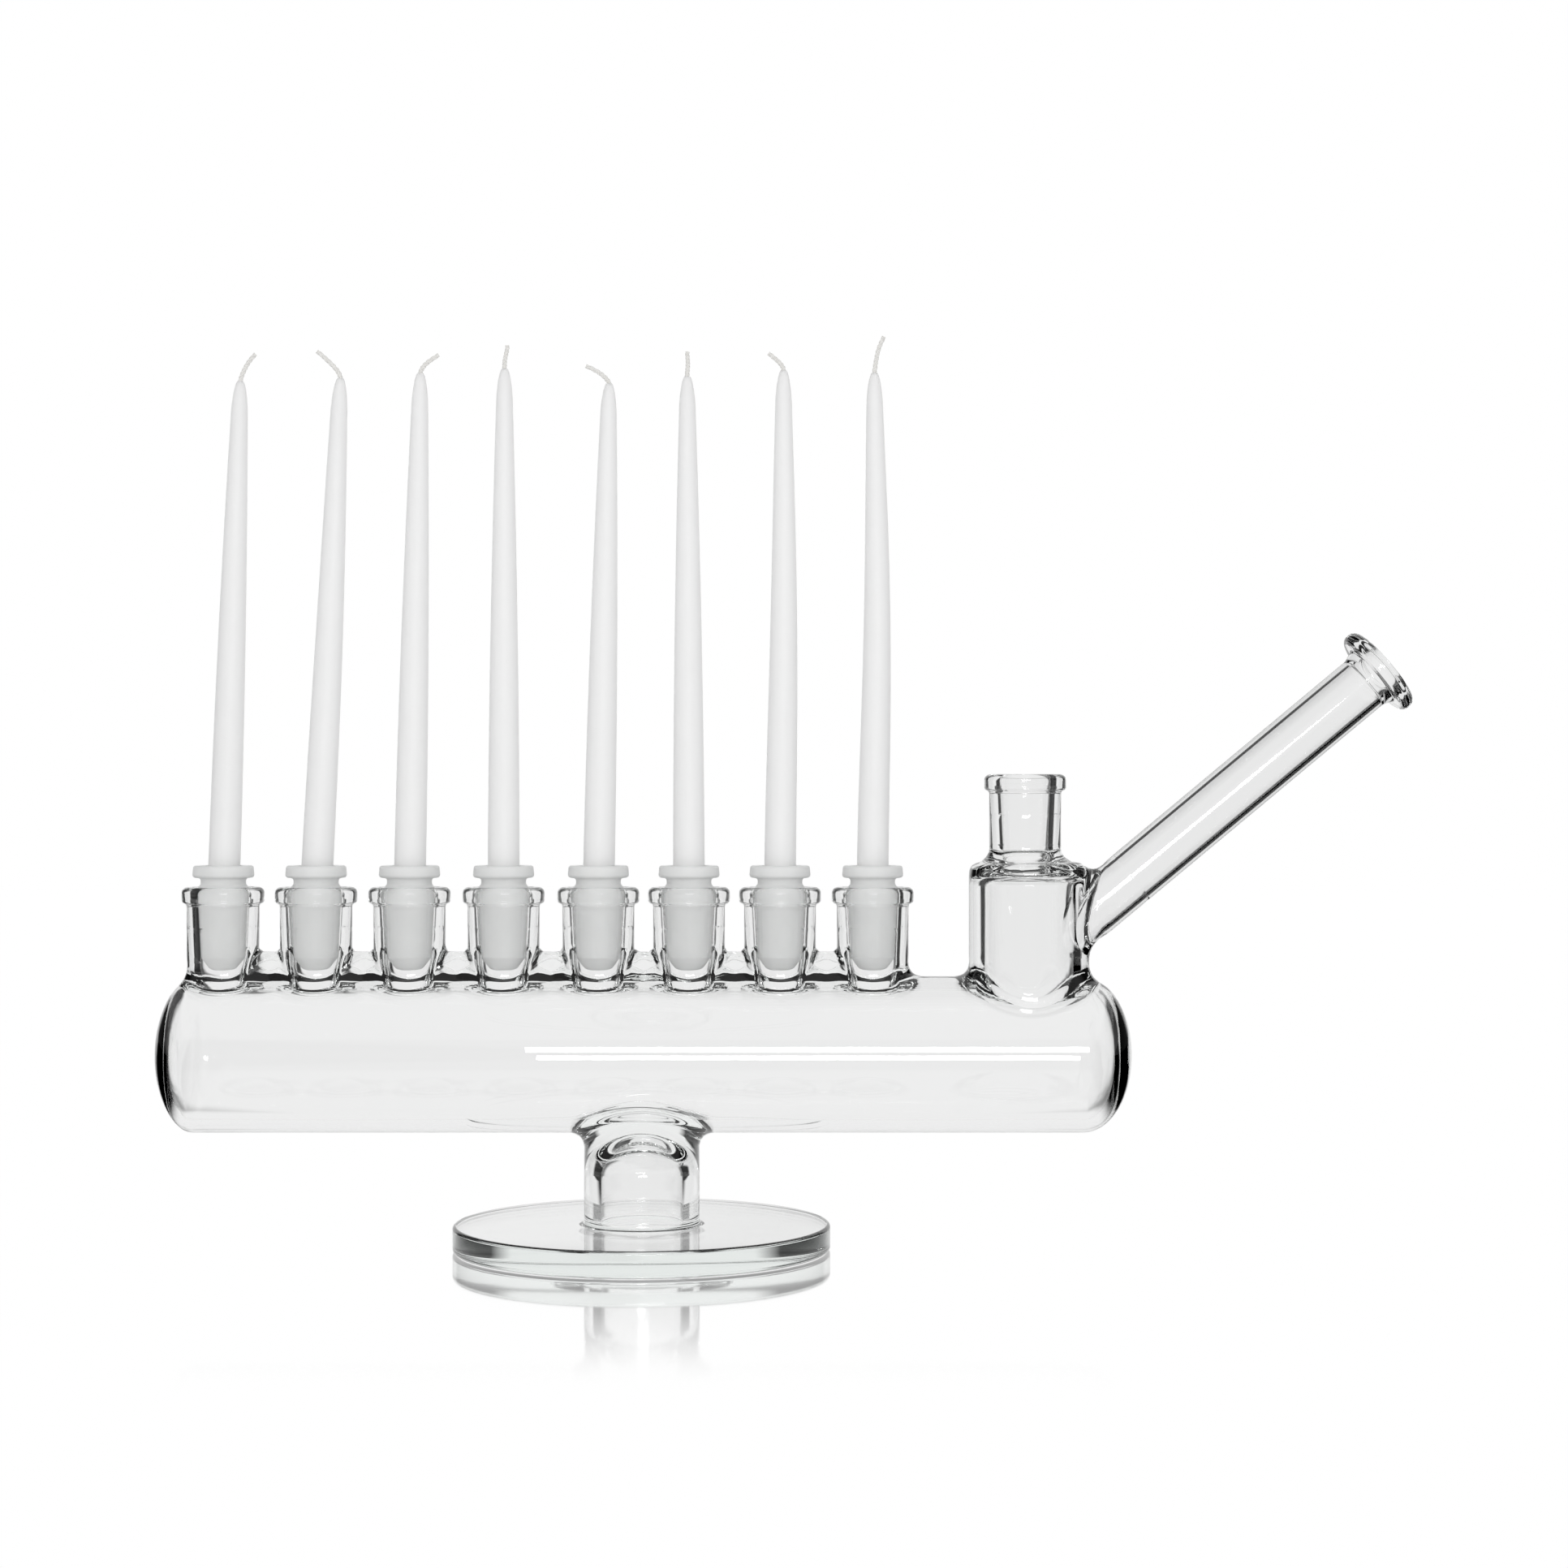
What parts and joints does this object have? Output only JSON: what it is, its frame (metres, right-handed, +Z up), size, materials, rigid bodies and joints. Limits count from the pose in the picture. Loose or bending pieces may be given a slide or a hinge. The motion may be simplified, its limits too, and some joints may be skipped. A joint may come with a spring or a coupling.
{
  "type": "glass menorah",
  "caption": "Clear glass menorah: a horizontal tube on a round foot, with ground-glass candle cups in a row, tapered candles, a raised server socket and a slanting mouth tube.",
  "frame": {"origin": "centre of the foot's underside", "axes": "+X along the chamber towards the mouth tube, +Z up, +Y towards the back"},
  "size_m": [0.3597, 0.108, 0.2619],
  "materials": {
    "clear_glass": "clear, fire polished",
    "frosted_glass": "ground, frosted",
    "candle_wax": "satin white wax",
    "wick": "waxed cotton"
  },
  "bodies": {
    "glass_body": {"main_tube": "clear_glass", "candle_socket_1": "clear_glass", "candle_socket_2": "clear_glass", "candle_socket_3": "clear_glass", "candle_socket_4": "clear_glass", "candle_socket_5": "clear_glass", "candle_socket_6": "clear_glass", "candle_socket_7": "clear_glass", "candle_socket_8": "clear_glass", "server_tower": "clear_glass", "server_joint": "clear_glass", "mouth_tube": "clear_glass", "mouthpiece_lip": "clear_glass", "foot_stem": "clear_glass", "base_disc": "clear_glass"},
    "cup_1": {"candle_cup_1": "frosted_glass"},
    "candle_1": {"candle_1": "candle_wax", "candle_wick_1": "wick"},
    "cup_2": {"candle_cup_2": "frosted_glass"},
    "candle_2": {"candle_2": "candle_wax", "candle_wick_2": "wick"},
    "cup_3": {"candle_cup_3": "frosted_glass"},
    "candle_3": {"candle_3": "candle_wax", "candle_wick_3": "wick"},
    "cup_4": {"candle_cup_4": "frosted_glass"},
    "candle_4": {"candle_4": "candle_wax", "candle_wick_4": "wick"},
    "cup_5": {"candle_cup_5": "frosted_glass"},
    "candle_5": {"candle_5": "candle_wax", "candle_wick_5": "wick"},
    "cup_6": {"candle_cup_6": "frosted_glass"},
    "candle_6": {"candle_6": "candle_wax", "candle_wick_6": "wick"},
    "cup_7": {"candle_cup_7": "frosted_glass"},
    "candle_7": {"candle_7": "candle_wax", "candle_wick_7": "wick"},
    "cup_8": {"candle_cup_8": "frosted_glass"},
    "candle_8": {"candle_8": "candle_wax", "candle_wick_8": "wick"}
  },
  "joints": [
    {"name": "cup_1_lift", "type": "slide", "parent": "glass_body", "child": "cup_1", "axis": [0, 0, 1], "range_m": [0, 0.03]},
    {"name": "candle_1_lift", "type": "slide", "parent": "cup_1", "child": "candle_1", "axis": [0.0332, 0, 0.9995], "range_m": [0, 0.025]},
    {"name": "cup_2_lift", "type": "slide", "parent": "glass_body", "child": "cup_2", "axis": [0, 0, 1], "range_m": [0, 0.03]},
    {"name": "candle_2_lift", "type": "slide", "parent": "cup_2", "child": "candle_2", "axis": [0.0471, 0, 0.9989], "range_m": [0, 0.025]},
    {"name": "cup_3_lift", "type": "slide", "parent": "glass_body", "child": "cup_3", "axis": [0, 0, 1], "range_m": [0, 0.03]},
    {"name": "candle_3_lift", "type": "slide", "parent": "cup_3", "child": "candle_3", "axis": [0.0209, 0, 0.9998], "range_m": [0, 0.025]},
    {"name": "cup_4_lift", "type": "slide", "parent": "glass_body", "child": "cup_4", "axis": [0, 0, 1], "range_m": [0, 0.03]},
    {"name": "candle_4_lift", "type": "slide", "parent": "cup_4", "child": "candle_4", "axis": [0.0017, 0, 1], "range_m": [0, 0.025]},
    {"name": "cup_5_lift", "type": "slide", "parent": "glass_body", "child": "cup_5", "axis": [0, 0, 1], "range_m": [0, 0.03]},
    {"name": "candle_5_lift", "type": "slide", "parent": "cup_5", "child": "candle_5", "axis": [0.0209, 0, 0.9998], "range_m": [0, 0.025]},
    {"name": "cup_6_lift", "type": "slide", "parent": "glass_body", "child": "cup_6", "axis": [0, 0, 1], "range_m": [0, 0.03]},
    {"name": "candle_6_lift", "type": "slide", "parent": "cup_6", "child": "candle_6", "axis": [-0.0035, 0, 1], "range_m": [0, 0.025]},
    {"name": "cup_7_lift", "type": "slide", "parent": "glass_body", "child": "cup_7", "axis": [0, 0, 1], "range_m": [0, 0.03]},
    {"name": "candle_7_lift", "type": "slide", "parent": "cup_7", "child": "candle_7", "axis": [0.007, 0, 1], "range_m": [0, 0.025]},
    {"name": "cup_8_lift", "type": "slide", "parent": "glass_body", "child": "cup_8", "axis": [0, 0, 1], "range_m": [0, 0.03]},
    {"name": "candle_8_lift", "type": "slide", "parent": "cup_8", "child": "candle_8", "axis": [0.0035, 0, 1], "range_m": [0, 0.025]}
  ]
}
